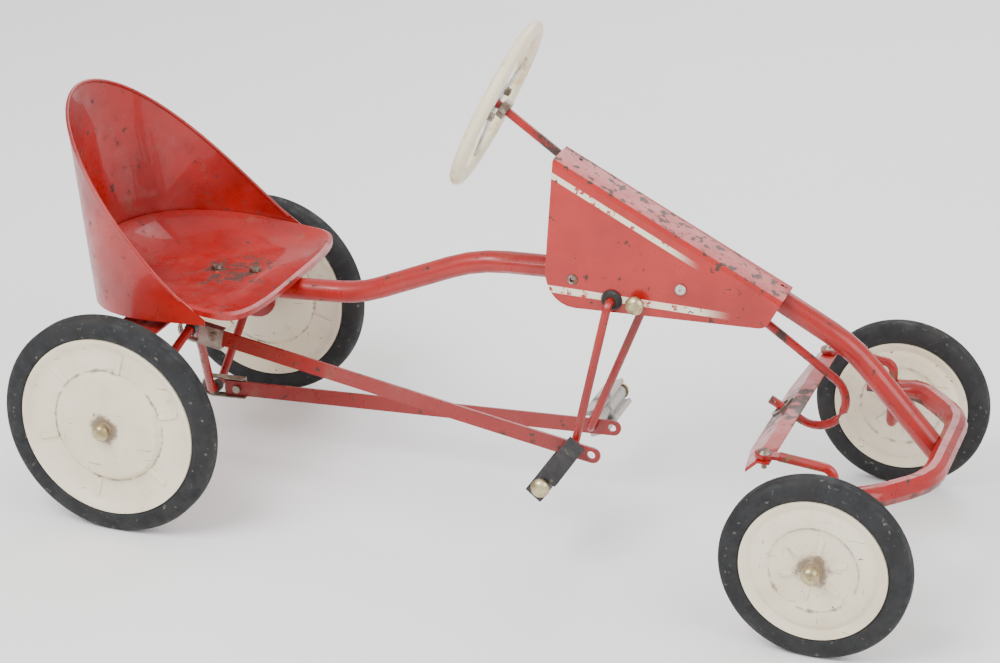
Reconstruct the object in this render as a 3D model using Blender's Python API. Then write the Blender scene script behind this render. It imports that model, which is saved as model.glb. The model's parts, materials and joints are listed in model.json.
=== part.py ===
"""Open-frame pedal car, built as separate named pieces.

Metres, +Z up, +X forward.  In the helpers below x is measured forward from the
rear axle, and `place` moves it to the part's own origin, the middle of its box.
"""

from math import atan2, cos, pi, radians, sin

import bmesh
import bpy
from mathutils import Matrix, Vector

# ---- driving dimensions -------------------------------------------------------------
REAR_AXLE_X = -0.38325         # rear axle, from the origin
WHEELBASE = 0.7967
REAR_TYRE_R = 0.127            # 10 inch wheel
FRONT_TYRE_R = 0.0996          # 8 inch wheel
REAR_TRACK = 0.410
FRONT_TRACK = 0.424
REAR_AXLE_END = 0.2265         # how far the axle and the front spindles reach outward
SPINDLE_END = 0.2300
GAP = 0.0003                   # running and resting clearance
TUBE_R = 0.0127                # 1 inch frame tube
TUBE_WALL = 0.0016
FRAME_Y = 0.0110               # plane of the frame tube and the steering column
SLIVER = 0.00002
ROD_R = 0.0048                 # 3/8 inch rods
AXLE_R = 0.0052

COVER_W = 0.0508
COVER_T = 0.0012
TREADLE_Y = 0.040              # plane of the treadle rods, from the middle
BAR_Y = 0.052                  # plane of the connecting bars
BAR_T = 0.003
BAR_W = 0.0180
PEDAL_IN = 0.060
PEDAL_OUT = 0.152

CRANK_R = 0.0625
THROW_ANGLE = {"near": radians(66), "far": radians(-90)}
TREADLE_PIVOT = {"near": (0.519, 0.2785), "far": (0.5475, 0.2795)}
SPINDLE = {"near": (0.484, 0.1075), "far": (0.4745, 0.088)}
SIDE = {"near": -1, "far": 1}

COLUMN_TOP = (0.3739, 0.4731)
COLUMN_SLOPE = radians(34.6)
RIM_AXIS = Vector((0.906, 0.079, -0.414)).normalized()   # the hand wheel sits tilted on its column
RIM_OUTER_R = 0.0985
RIM_INNER_R = 0.0800

KINGPIN_X = WHEELBASE
KINGPIN_Y = 0.144
CROSS_Z = 0.148
CROSS_NOSE = 0.884              # centre line of the front axle tube at its middle
EYE_X = 0.7232
EYE_Z = 0.1815
TIE_TOP_Z = 0.1790

PAINT = {
    "red": ((0.62, 0.045, 0.03, 1), 0.35, 0.0),
    "cream": ((0.83, 0.76, 0.58, 1), 0.4, 0.0),
    "rubber": ((0.035, 0.036, 0.04, 1), 0.75, 0.0),
    "steel": ((0.35, 0.32, 0.27, 1), 0.45, 1.0),
    "zinc": ((0.55, 0.54, 0.52, 1), 0.4, 1.0),
    "brass": ((0.42, 0.36, 0.20, 1), 0.45, 0.9),
    "black": ((0.03, 0.03, 0.032, 1), 0.55, 0.0),
    "rim": ((0.90, 0.81, 0.60, 1), 0.35, 0.0),
}


def clear_scene():
    for item in list(bpy.data.objects):
        bpy.data.objects.remove(item)


def place(x, y, z):
    """A point given from the rear axle, in the part's own frame."""
    return Vector((x + REAR_AXLE_X, y, z))


def paint(item, name):
    """Give a piece its own material from one of the named finishes."""
    colour, roughness, metallic = PAINT[name]
    material = bpy.data.materials.new(item.name)
    material.use_nodes = True
    shader = material.node_tree.nodes["Principled BSDF"]
    shader.inputs["Base Color"].default_value = colour
    shader.inputs["Roughness"].default_value = roughness
    shader.inputs["Metallic"].default_value = metallic
    item.data.materials.clear()
    item.data.materials.append(material)


def new_object(name, mesh, finish, smooth=True):
    item = bpy.data.objects.new(name, mesh)
    bpy.context.scene.collection.objects.link(item)
    if smooth and isinstance(mesh, bpy.types.Mesh):
        mesh.shade_smooth()
    paint(item, finish)
    return item


def mesh_from(bm, name):
    bmesh.ops.recalc_face_normals(bm, faces=bm.faces[:])
    mesh = bpy.data.meshes.new(name)
    bm.to_mesh(mesh)
    bm.free()
    return mesh


def fillet(points, radii, step=radians(15)):
    """Round the corners of a polyline, each by its own radius."""
    points = [Vector(p) for p in points]
    result = [points[0]]
    for i in range(1, len(points) - 1):
        corner = points[i]
        before = (points[i - 1] - corner).normalized()
        after = (points[i + 1] - corner).normalized()
        angle = before.angle(after)
        radius = radii[i - 1]
        if radius <= 0 or pi - angle < radians(1):
            result.append(corner)
            continue
        reach = radius / (sin(angle / 2) / cos(angle / 2))
        centre = corner + (before + after).normalized() * (radius / sin(angle / 2))
        start = corner + before * reach - centre
        turn = pi - angle
        axis = before.cross(after).normalized()
        count = max(2, round(turn / step))
        for k in range(count + 1):
            result.append(centre + Matrix.Rotation(-turn * k / count, 3, axis) @ start)
    result.append(points[-1])
    return result


def rod_curve(name, path, radius, sides=10, caps=True):
    """A curve object that sweeps a round section along a path in world coordinates."""
    curve = bpy.data.curves.new(name, "CURVE")
    curve.dimensions = "3D"
    curve.bevel_depth = radius
    curve.bevel_resolution = sides // 2 - 2
    curve.use_fill_caps = caps
    spline = curve.splines.new("POLY")
    spline.points.add(len(path) - 1)
    for point, place_ in zip(spline.points, path):
        point.co = (*place_, 1)
    return curve


def rod(name, path, radius, finish, sides=10, origin=None):
    """A solid rod as a mesh, its object origin on a given point."""
    curve = rod_curve(name + "_path", path, radius, sides)
    holder = bpy.data.objects.new(name + "_path", curve)
    bpy.context.scene.collection.objects.link(holder)
    bpy.context.view_layer.update()
    swept = holder.evaluated_get(bpy.context.evaluated_depsgraph_get())
    mesh = bpy.data.meshes.new_from_object(swept)
    bpy.data.objects.remove(holder)
    bm = bmesh.new()
    bm.from_mesh(mesh)
    bmesh.ops.remove_doubles(bm, verts=bm.verts[:], dist=0.00002)
    origin = Vector(origin) if origin is not None else Vector(path[0])
    bmesh.ops.translate(bm, verts=bm.verts[:], vec=-origin)
    mesh.materials.clear()
    bmesh.ops.recalc_face_normals(bm, faces=bm.faces[:])
    bm.to_mesh(mesh)
    bm.free()
    item = new_object(name, mesh, finish)
    item.location = origin
    return item


def lathe(name, profile, centre, axis, finish, segments=32, closed=True):
    """Spin a profile of (radius, height) about an axis through centre."""
    bm = bmesh.new()
    verts = [bm.verts.new((r, 0, h)) for r, h in profile]
    edges = [bm.edges.new(pair) for pair in zip(verts, verts[1:])]
    if closed:
        edges.append(bm.edges.new((verts[-1], verts[0])))
    bmesh.ops.spin(bm, geom=verts + edges, cent=(0, 0, 0), axis=(0, 0, 1),
                   angle=2 * pi, steps=segments, use_duplicate=False)
    bmesh.ops.remove_doubles(bm, verts=bm.verts[:], dist=0.00002)
    item = new_object(name, mesh_from(bm, name), finish)
    item.location = centre
    item.rotation_euler = Vector(axis).to_track_quat("Z", "Y").to_euler()
    return item


def prism(name, outline, depth, finish, matrix=None, smooth=False):
    """Extrude a flat outline of (x, y) points by depth along local +Z."""
    bm = bmesh.new()
    verts = [bm.verts.new((x, y, 0)) for x, y in outline]
    face = bm.faces.new(verts)
    raised = bmesh.ops.extrude_face_region(bm, geom=[face])
    moved = [v for v in raised["geom"] if isinstance(v, bmesh.types.BMVert)]
    bmesh.ops.translate(bm, verts=moved, vec=(0, 0, depth))
    item = new_object(name, mesh_from(bm, name), finish, smooth)
    if matrix is not None:
        item.matrix_world = matrix
    return item


def side_frame(y, origin=(0, 0)):
    """A matrix whose local X, Y are the car's forward and up, and local Z its far side (+Y)."""
    rotation = Matrix(((1, 0, 0), (0, 0, -1), (0, 1, 0))).to_4x4()
    return Matrix.Translation(place(origin[0], y, origin[1])) @ rotation


def cut(item, cutters):
    """Subtract solids from a piece with exact booleans, and keep only the result."""
    for cutter in cutters:
        cutter.display_type = "WIRE"
        cutter.hide_render = True
        boolean = item.modifiers.new("cut", "BOOLEAN")
        boolean.operation = "DIFFERENCE"
        boolean.solver = "EXACT"
        boolean.object = cutter
    bpy.context.view_layer.update()
    ready = item.evaluated_get(bpy.context.evaluated_depsgraph_get())
    item.data = tidy_mesh(bpy.data.meshes.new_from_object(ready))
    item.modifiers.clear()
    for cutter in cutters:
        bpy.data.objects.remove(cutter)


def tidy_mesh(mesh):
    """Merge the hair-thin slivers that an exact boolean can leave."""
    bm = bmesh.new()
    bm.from_mesh(mesh)
    bmesh.ops.remove_doubles(bm, verts=bm.verts[:], dist=SLIVER)
    bmesh.ops.dissolve_degenerate(bm, dist=SLIVER, edges=bm.edges[:])
    bm.to_mesh(mesh)
    bm.free()
    return mesh


def drill(item, holes):
    """Cut round holes given as (point, axis, radius, length)."""
    cutters = []
    for index, (point, axis, radius, length) in enumerate(holes):
        profile = [(0, -length / 2), (radius, -length / 2), (radius, length / 2), (0, length / 2)]
        cutters.append(lathe("%s_hole_%d" % (item.name, index), profile, point, axis, "black",
                             segments=12, closed=False))
    cut(item, cutters)


def dome(radius, height, rise):
    """Profile of a pressed round cap: a skirt of height, then a dome of rise."""
    points = [(radius, 0), (radius, height)]
    for step in range(1, 4):
        angle = step * pi / 6
        points.append((radius * cos(angle), height + rise * sin(angle)))
    return [(0, 0)] + points


# ---- frame --------------------------------------------------------------------------
TUBE_REAR_X = -0.0490
TUBE_RISE = 0.065              # slope of the tube's straight rear stretch
COLUMN_BEARING = 0.3040        # along the column, where it runs through the tube
SEAT_BOLTS = {"rear": 0.030, "front": 0.078}
SCREW_SPOT = (0.5955, -0.0010, 0.3010)


def tube_line(x):
    """Height of the tube's centre line under the seat."""
    return 0.2125 + (x - TUBE_REAR_X) * TUBE_RISE


def build_main_tube():
    """The long tube: under the seat, up through the cover and down to the front axle."""
    corners = [(TUBE_REAR_X, tube_line(TUBE_REAR_X)), (0.2099, tube_line(0.2099)), (0.3512, 0.2895),
               (0.6727, 0.3020), (0.7761, 0.2466), (0.8730, 0.1410)]
    path = fillet([place(x, FRAME_Y, z) for x, z in corners], [0.15, 0.19, 0.10, 0.16], step=radians(7))
    item = rod("main_tube", path, TUBE_R, "red", sides=12)
    remove_end_faces(item)
    wall = item.modifiers.new("wall", "SOLIDIFY")
    wall.thickness = TUBE_WALL
    wall.offset = -1
    cutter = lathe("cope", cylinder(TUBE_R + GAP, 0.08), place(CROSS_NOSE, 0, CROSS_Z), (0, 1, 0),
                   "black", segments=24, closed=False)
    cut(item, [cutter])
    drill(item, [(place(x, FRAME_Y, 0.22), (0, 0, 1), 0.0034, 0.08) for x in SEAT_BOLTS.values()]
          + [(place(*SCREW_SPOT), (0, 1, 0), 0.0027, 0.02)])
    drill(item, [(column_point(COLUMN_BEARING), COLUMN_DIR, ROD_R + GAP, 0.08)])
    return item


def cylinder(radius, length):
    return [(0, -length / 2), (radius, -length / 2), (radius, length / 2), (0, length / 2)]


def remove_end_faces(item):
    bm = bmesh.new()
    bm.from_mesh(item.data)
    ends = [f for f in bm.faces if len(f.verts) > 4]
    bmesh.ops.delete(bm, geom=ends, context="FACES_ONLY")
    bm.to_mesh(item.data)
    bm.free()


def build_cross_tube():
    """The bowed front axle tube, its two ends pressed flatter around the kingpins."""
    corners = [(0.770, -KINGPIN_Y), (0.829, -KINGPIN_Y), (CROSS_NOSE, -0.080),
               (CROSS_NOSE, 0.080), (0.829, KINGPIN_Y), (0.770, KINGPIN_Y)]
    path = fillet([place(x, y, CROSS_Z) for x, y in corners], [0.045, 0.075, 0.075, 0.045],
                  step=radians(15))
    lead = [path[0].lerp(path[1], t) for t in (0, 0.45, 0.9)]
    tail = [path[-2].lerp(path[-1], t) for t in (0.1, 0.55, 1)]
    path = lead + path[1:-1] + tail
    item = rod("front_axle_tube", path, TUBE_R, "red", sides=10, origin=place(0, 0, 0))
    remove_end_faces(item)
    for vert in item.data.vertices:
        press = min(1.0, max(0.0, (0.826 - vert.co.x) / 0.022))
        vert.co.z = CROSS_Z + (vert.co.z - CROSS_Z) * (1 - 0.40 * press)
        side = KINGPIN_Y if vert.co.y > 0 else -KINGPIN_Y
        vert.co.y = side + (vert.co.y - side) * (1 + 0.22 * press) if press else vert.co.y
    wall = item.modifiers.new("wall", "SOLIDIFY")
    wall.thickness = TUBE_WALL
    wall.offset = -1
    drill(item, [(place(KINGPIN_X, s * KINGPIN_Y, CROSS_Z), (0, 0, 1), AXLE_R + GAP, 0.05)
                 for s in (-1, 1)])
    return item


COVER_TOP_REAR = (0.4500, 0.4297)
COVER_TOP_FRONT = (0.7060, 0.3010)
FOLD_R = 0.0045


def cover_outline():
    """Side view of the folded cover, from the top rear corner round to the front."""
    corners = [(COVER_TOP_REAR[0], COVER_TOP_REAR[1], 0), (COVER_TOP_FRONT[0], COVER_TOP_FRONT[1], 0),
               (0.6892, 0.2686, 0), (0.4532, 0.2624, 0), (0.4422, 0.2964, 0)]
    ring = corners + corners[:2]
    rounded = fillet(ring[1:7], [0.014, 0.032, 0.030, 0], step=radians(14))
    return [(p.x, p.y) for p in rounded[:-1]]


def build_cover():
    """Sheet hood folded over the tube, open below and at both ends."""
    outline = cover_outline()
    item = prism("steering_cover", outline, COVER_W, "red", side_frame(COVER_W / 2))
    fold_edges(item, COVER_TOP_REAR, COVER_TOP_FRONT, FOLD_R)
    slope = Vector((COVER_TOP_FRONT[0] - COVER_TOP_REAR[0], COVER_TOP_FRONT[1] - COVER_TOP_REAR[1]))
    slope.normalize()
    inward = Vector((slope.y, -slope.x)) * COVER_T
    rear = Vector(COVER_TOP_REAR) + inward - slope * 0.05
    front = Vector(COVER_TOP_FRONT) + inward + slope * 0.05
    inner = [rear[:], front[:], (front.x, 0.2), (rear.x - 0.02, 0.2)]
    inside = COVER_W / 2 - COVER_T
    hollow = prism("hollow", inner, 2 * inside, "black", side_frame(inside))
    fold_edges(hollow, inner[0], inner[1], FOLD_R - COVER_T)
    cut(item, [hollow])
    holes = []
    for side, (x, z) in TREADLE_PIVOT.items():
        outside = SIDE[side] * COVER_W / 2
        holes.append((place(x, -outside, z), (0, 1, 0), ROD_R + GAP, 0.008))
        holes.append((place(x, outside, z), (0, 1, 0), 0.0078, 0.008))
    holes.append((place(SCREW_SPOT[0], -COVER_W / 2, SCREW_SPOT[2]), (0, 1, 0), 0.0028, 0.01))
    holes.append((place(0.4740, -COVER_W / 2, 0.2960), (0, 1, 0), 0.0042, 0.01))
    normal = (-slope.y, 0, slope.x)
    for distance in (0.022, 0.276):
        spot = Vector(COVER_TOP_REAR) + slope * distance
        holes.append((place(spot.x, 0.012, spot.y), normal, 0.0022, 0.012))
    drill(item, holes)
    return item


def fold_edges(item, start, end, radius):
    """Round the two long edges that lie over the line from start to end in side view."""
    bm = bmesh.new()
    bm.from_mesh(item.data)
    run = Vector(end) - Vector(start)
    tops = []
    for edge in bm.edges:
        offsets = [abs(run.cross(v.co.xy - Vector(start))) / run.length for v in edge.verts]
        level = abs(edge.verts[0].co.z - edge.verts[1].co.z) < 1e-6
        if max(offsets) < 1e-5 and level:
            tops.append(edge)
    bmesh.ops.bevel(bm, geom=tops, offset=radius, segments=3, affect="EDGES", profile=0.5)
    bm.to_mesh(item.data)
    bm.free()


def build_cover_fixings():
    outer = COVER_W / 2 + GAP
    reach = -outer - SCREW_SPOT[1]
    head = [(0, reach), (0.0024, reach), (0.0024, 0), (0.0062, 0), (0.0062, 0.0016), (0.0052, 0.0028),
            (0, 0.0030)]
    spot = place(SCREW_SPOT[0], -outer, SCREW_SPOT[2])
    screw = lathe("cover_screw", head, spot, (0, -1, 0), "zinc", 16, False)
    slot = box("slot", (0.014, 0.0012, 0.0020), screw.location + Vector((0, -0.0030, 0)), (1, 0, 2))
    cut(screw, [slot])
    ring = [(0.0028, -0.0030), (0.0040, -0.0030), (0.0040, GAP), (0.0062, GAP), (0.0058, 0.0012),
            (0.0028, 0.0016)]
    lathe("cover_eyelet", ring, place(0.4740, -outer + GAP, 0.2960), (0, -1, 0), "steel", 16)
    for side, (x, z) in TREADLE_PIVOT.items():
        collar = [(ROD_R + GAP, -0.0030), (0.0075, -0.0030), (0.0075, GAP), (0.0118, GAP),
                  (0.0118, 0.0018), (0.0090, 0.0050), (ROD_R + GAP, 0.0056)]
        y = SIDE[side] * COVER_W / 2
        lathe("grommet_" + side, collar, place(x, y, z), (0, SIDE[side], 0), "rubber", 20)


def box(name, size, centre, order=(0, 1, 2)):
    """A plain block used as a cutter; order names the axes that its size runs along."""
    extent = [0, 0, 0]
    for axis, length in zip(order, size):
        extent[axis] = length
    bm = bmesh.new()
    bmesh.ops.create_cube(bm, size=1)
    bmesh.ops.scale(bm, vec=extent, verts=bm.verts[:])
    item = new_object(name, mesh_from(bm, name), "black", smooth=False)
    item.location = centre
    return item


# ---- seat ---------------------------------------------------------------------------
PAN_T = 0.0014
FLOOR_REACH = 0.60             # size of the pan's flat floor, as a share of its rim
SHELL_T = 0.0012
SHELL_HALF_W = 0.1448
SHELL_TIP_X = 0.0899
SHELL_ROUND = 0.6833           # below 1 the shell is fuller than an ellipse


def shell_apex(z):
    """Where the back of the shell stands at a height; it leans back as it rises."""
    return -0.1003 - 0.1224 * (z - 0.200)


def shell_point(turn, z, out=0.0):
    """A point round the shell: turn 0 is the near front tip, pi the far one."""
    apex = shell_apex(z)
    length = SHELL_TIP_X - apex
    x = SHELL_TIP_X - (length + out) * max(0.0, sin(turn)) ** SHELL_ROUND
    y = -(SHELL_HALF_W + out) * cos(turn)
    return Vector((x, y, z))


def shell_heights(turn):
    """Lower and upper edge of the shell sheet at a turn."""
    back = max(0.0, sin(turn))
    low = 0.2330 - 0.0200 * back ** 0.90
    high = 0.2387 + 0.2058 * back ** 0.86
    return low, high


def build_seat_back():
    steps, rows = 26, 4
    bm = bmesh.new()
    grids = []
    for out in (0.0, -SHELL_T):
        grid = []
        for i in range(steps + 1):
            turn = pi * i / steps
            low, high = shell_heights(turn)
            column = []
            for j in range(rows + 1):
                z = low + (high - low) * j / rows
                column.append(bm.verts.new(place(*shell_point(turn, z, out))))
            grid.append(column)
        grids.append(grid)
    outer, inner = grids
    for i in range(steps):
        for j in range(rows):
            bm.faces.new((outer[i][j], outer[i + 1][j], outer[i + 1][j + 1], outer[i][j + 1]))
            bm.faces.new((inner[i][j], inner[i][j + 1], inner[i + 1][j + 1], inner[i + 1][j]))
        for j in (0, rows):
            bm.faces.new((outer[i][j], outer[i + 1][j], inner[i + 1][j], inner[i][j]))
    for i in (0, steps):
        for j in range(rows):
            bm.faces.new((outer[i][j], outer[i][j + 1], inner[i][j + 1], inner[i][j]))
    return new_object("seat_back", mesh_from(bm, "seat_back"), "red")


def pan_rim(turn):
    """Outline of the pan's rim: the shell's curve behind, a blunt nose in front."""
    x, y = sin(turn), -cos(turn)
    inset = SHELL_T + GAP + 0.0008
    if x >= 0:
        rough = shell_point(turn, pan_height(SHELL_TIP_X), -inset)
        point = shell_point(turn, pan_height(rough.x), -inset)
        return Vector((point.x, point.y, pan_height(point.x)))
    half = SHELL_HALF_W - inset
    blunt = abs(x) ** 0.55
    point_x = SHELL_TIP_X + 0.046 * blunt
    point_y = half * (abs(y) ** 0.55) * (1 if y > 0 else -1)
    return Vector((point_x, point_y, pan_height(point_x)))


def pan_height(x):
    return 0.2460 + (0.113 - x) * 0.100


def pan_floor(x):
    """Height of the pan's flat floor, which lies along the tube rather than along the rim."""
    return 0.2358 + (x - 0.030) * 0.067


def build_seat_pan():
    """Pressed seat pan: a rolled rim, a shallow dish and a flat floor."""
    steps = 36
    top = [(1.0, -0.0060), (1.0, 0.0), (0.965, 0.0020), (0.93, 0.0), (0.86, -0.0060), (FLOOR_REACH, 0.0)]
    under = [(0.987, -0.0060)] + [(min(scale, 0.987), rise - PAN_T) for scale, rise in top[1:]]
    middle = Vector((0.030, 0, 0))
    bm = bmesh.new()
    layers = []
    for rings in (top, under):
        layer = []
        for scale, rise in rings:
            ring = []
            for i in range(steps):
                rim = pan_rim(2 * pi * i / steps)
                x = middle.x + (rim.x - middle.x) * scale
                y = rim.y * scale
                level = pan_floor(x) if scale == FLOOR_REACH else pan_height(x)
                ring.append(bm.verts.new(place(x, y, level + rise)))
            layer.append(ring)
        layers.append(layer)
    for layer in layers:
        for a, b in zip(layer, layer[1:]):
            for i in range(steps):
                k = (i + 1) % steps
                bm.faces.new((a[i], a[k], b[k], b[i]))
        bm.faces.new(layer[-1])
    outer, inner = layers
    for i in range(steps):
        k = (i + 1) % steps
        bm.faces.new((outer[0][i], outer[0][k], inner[0][k], inner[0][i]))
    return new_object("seat_pan", mesh_from(bm, "seat_pan"), "red")


def build_seat_fixings():
    for end, x in SEAT_BOLTS.items():
        seat_high = pan_floor(x + 0.0075) + GAP
        seat_low = pan_floor(x - 0.0085) - PAN_T - GAP
        base = tube_line(x + 0.0085) + TUBE_R * 1.01 + GAP
        drop = tube_line(x) - TUBE_R - seat_high - 0.0015
        profile = [(0, 0.0034), (0.0062, 0.0030), (0.0070, 0), (0.0030, 0), (0.0030, drop),
                   (0.0058, drop), (0.0058, drop - 0.0050), (0, drop - 0.0050)]
        spot = place(x, FRAME_Y, seat_high)
        lathe("seat_bolt_" + end, profile, spot, (0, 0, 1), "steel", 12, False)
        drill(bpy.data.objects["seat_pan"], [(spot, (0, 0, 1), 0.0034, 0.016)])
        sleeve = [(0.0034, base), (0.0080, base), (0.0080, seat_low), (0.0034, seat_low)]
        lathe("seat_spacer_" + end, sleeve, place(x, FRAME_Y, 0), (0, 0, 1), "steel", 12)


EAR_Y = 0.165
EAR_T = 0.0025
EAR_HALF = 0.0286              # half width of an ear, front to back
EAR_LOW = 0.1110
CROWN_FRONT = 0.0205           # the crown stops short of the rear seat bolt


def build_axle_bracket():
    """Sheet bracket bent over the tube, its two ears holding the rear axle."""
    wing = 0.2140
    crown = tube_line(0) + TUBE_R + 2 * GAP + EAR_T
    outer = EAR_Y + EAR_T / 2
    inner = outer - EAR_T
    above = [(outer, EAR_LOW), (outer, wing), (0.0950, wing), (0.0400, crown),
             (FRAME_Y - 0.0180, crown), (-0.0800, wing), (-outer, wing), (-outer, EAR_LOW)]
    below = [(-inner, EAR_LOW), (-inner, wing - EAR_T), (-0.0792, wing - EAR_T),
             (FRAME_Y - 0.0174, crown - EAR_T), (0.0394, crown - EAR_T), (0.0942, wing - EAR_T),
             (inner, wing - EAR_T), (inner, EAR_LOW)]
    across = Matrix(((0, 0, 1), (1, 0, 0), (0, 1, 0))).to_4x4()
    item = prism("axle_bracket", above + below, 2 * EAR_HALF + 0.004, "red",
                 Matrix.Translation(place(-EAR_HALF - 0.002, 0, 0)) @ across)
    apply_matrix(item)
    for vert in item.data.vertices:
        if vert.co.z > EAR_LOW + 0.01:
            vert.co.z += TUBE_RISE * (vert.co.x - REAR_AXLE_X)
    ear = [(-EAR_HALF, 0.25, 0), (-EAR_HALF, EAR_LOW, 0), (EAR_HALF, EAR_LOW, 0),
           (EAR_HALF, wing + 0.0035, 0), (CROWN_FRONT, wing + 0.0035, 0), (CROWN_FRONT, 0.25, 0)]
    outline = [(p.x, p.y) for p in fillet(ear, [0.026, 0.026, 0, 0], radians(18))]
    keep = prism("keep", outline, 0.5, "black", side_frame(0.25))
    boolean = item.modifiers.new("keep", "BOOLEAN")
    boolean.operation = "INTERSECT"
    boolean.solver = "EXACT"
    boolean.object = keep
    apply_modifiers(item)
    bpy.data.objects.remove(keep)
    drill(item, [(place(0, s * EAR_Y, REAR_TYRE_R), (0, 1, 0), 0.0085, 0.02) for s in (-1, 1)])
    for side, s in SIDE.items():
        bush = [(AXLE_R + GAP, -0.0040), (0.0080, -0.0040), (0.0080, EAR_T / 2 + GAP),
                (0.0115, EAR_T / 2 + GAP), (0.0115, 0.0038), (AXLE_R + GAP, 0.0038)]
        lathe("axle_bushing_" + side, bush, place(0, s * EAR_Y, REAR_TYRE_R), (0, s, 0), "black", 16)


def apply_modifiers(item):
    bpy.context.view_layer.update()
    ready = item.evaluated_get(bpy.context.evaluated_depsgraph_get())
    item.data = tidy_mesh(bpy.data.meshes.new_from_object(ready))
    item.modifiers.clear()


# ---- pedal drive --------------------------------------------------------------------
def throw_centre(side):
    angle = THROW_ANGLE[side]
    return CRANK_R * cos(angle), REAR_TYRE_R + CRANK_R * sin(angle)


BUSH_R = 0.0072
THROW_HALF = 0.012


def build_crank():
    """Rear axle bent into two throws, one for each connecting bar."""
    near_x, near_z = throw_centre("near")
    far_x, far_z = throw_centre("far")
    corners = [(0, -REAR_AXLE_END, REAR_TYRE_R), (0, -0.1380, REAR_TYRE_R),
               (near_x, -BAR_Y - THROW_HALF, near_z), (near_x, -BAR_Y + THROW_HALF, near_z),
               (far_x, BAR_Y - THROW_HALF, far_z), (far_x, BAR_Y + THROW_HALF, far_z),
               (0, 0.1380, REAR_TYRE_R), (0, REAR_AXLE_END, REAR_TYRE_R)]
    path = fillet([place(*c) for c in corners], [0.012, 0.010, 0.008, 0.008, 0.010, 0.012], radians(20))
    rod("crank_axle", path, AXLE_R, "red", sides=10, origin=place(0, 0, REAR_TYRE_R))
    for side, s in SIDE.items():
        x, z = throw_centre(side)
        sleeve = [(AXLE_R + GAP, -0.0050), (BUSH_R, -0.0050), (BUSH_R, 0.0050), (AXLE_R + GAP, 0.0050)]
        lathe("throw_bushing_" + side, sleeve, place(x, s * BAR_Y, z), (0, s, 0), "black", 16)


BAR_BOLT = 0.0290
LOOP_T = 0.0015


def bar_matrix(side):
    """Local frame of a connecting bar: X from the throw to the treadle, Z across the car."""
    rear = Vector(throw_centre(side))
    front = Vector(SPINDLE[side])
    angle = atan2(front.y - rear.y, front.x - rear.x)
    turn = Matrix.Rotation(angle, 4, "Z")
    return side_frame(SIDE[side] * BAR_Y, rear) @ turn, (front - rear).length


def stadium(x0, x1, half, step=radians(18)):
    """Outline with a round rear end at x0 and a square front end at x1."""
    points = [(x1, -half), (x1, half)]
    count = round(pi / step)
    for k in range(count + 1):
        angle = pi / 2 + pi * k / count
        points.append((x0 + half * cos(angle), half * sin(angle)))
    return points


def build_bar(side):
    frame, length = bar_matrix(side)
    half = BAR_W / 2
    start, end = 0.0135, length + 0.034
    outline = [(start, -half), (end - half, -half)]
    for k in range(1, 8):
        angle = -pi / 2 + pi * k / 8
        outline.append((end - half + half * cos(angle), half * sin(angle)))
    outline += [(end - half, half), (start, half)]
    item = prism("connecting_bar_" + side, outline, BAR_T, "red",
                 frame @ Matrix.Translation((0, 0, -BAR_T / 2)))
    axis = (0, 1, 0)
    drill(item, [(frame @ Vector((length, 0, 0)), axis, ROD_R + GAP, 0.02),
                 (frame @ Vector((length + 0.0235, 0, 0)), axis, 0.0048, 0.02),
                 (frame @ Vector((BAR_BOLT, 0, 0)), axis, 0.0029, 0.02)])


STRAP_HALF = 0.0112


def build_strap(side):
    """Folded strap that wraps round the throw bushing and grips the bar's rear end."""
    frame, _ = bar_matrix(side)
    s = SIDE[side]
    plate = BAR_T / 2 + GAP
    depth = plate + LOOP_T + 0.0065
    sag = -1 if side == "near" else 1
    centre = sag * (STRAP_HALF - BAR_W / 2 - GAP)
    outer = stadium(-0.0035, 0.040, STRAP_HALF + LOOP_T)
    inner = stadium(-0.0035, 0.060, STRAP_HALF)
    shift = Matrix.Translation((0, centre, 0))
    straighten = Matrix.Identity(4)
    if s > 0:
        straighten = Matrix.Scale(-1, 4, (0, 0, 1))
    body = prism("strap_" + side, outer, depth, "zinc" if side == "near" else "steel",
                 frame @ shift @ straighten @ Matrix.Translation((0, 0, -0.0065)))
    apply_matrix(body)
    hollow = prism("hollow", inner, 0.03, "black",
                   frame @ shift @ straighten @ Matrix.Translation((0, 0, plate - 0.03)))
    window = prism("window", stadium(-0.0030, 0.0105, STRAP_HALF - 0.0008), 0.03, "black",
                   frame @ shift @ straighten @ Matrix.Translation((0, 0, plate - 0.01)))
    apply_matrix(hollow)
    apply_matrix(window)
    cut(body, [hollow, window])
    drill(body, [(frame @ Vector((BAR_BOLT, 0, 0)), (0, 1, 0), 0.0029, 0.03)])
    profile = [(0, -0.0060), (0.0048, -0.0060), (0.0048, -BAR_T / 2 - GAP), (0.0026, -BAR_T / 2 - GAP),
               (0.0026, plate + LOOP_T + GAP), (0.0055, plate + LOOP_T + GAP), (0.0050, 0.0062),
               (0, 0.0070)]
    lathe("strap_bolt_" + side, profile, frame @ Vector((BAR_BOLT, 0, 0)), (0, s, 0), "steel", 12, False)


def apply_matrix(item):
    """Bake an object's placing into its mesh, and mend the winding of a mirrored one."""
    bm = bmesh.new()
    bm.from_mesh(item.data)
    bmesh.ops.transform(bm, matrix=item.matrix_world, verts=bm.verts[:])
    bmesh.ops.recalc_face_normals(bm, faces=bm.faces[:])
    bm.to_mesh(item.data)
    bm.free()
    item.matrix_world = Matrix.Identity(4)


PAD_TILT = {"near": radians(52), "far": radians(113)}


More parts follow.
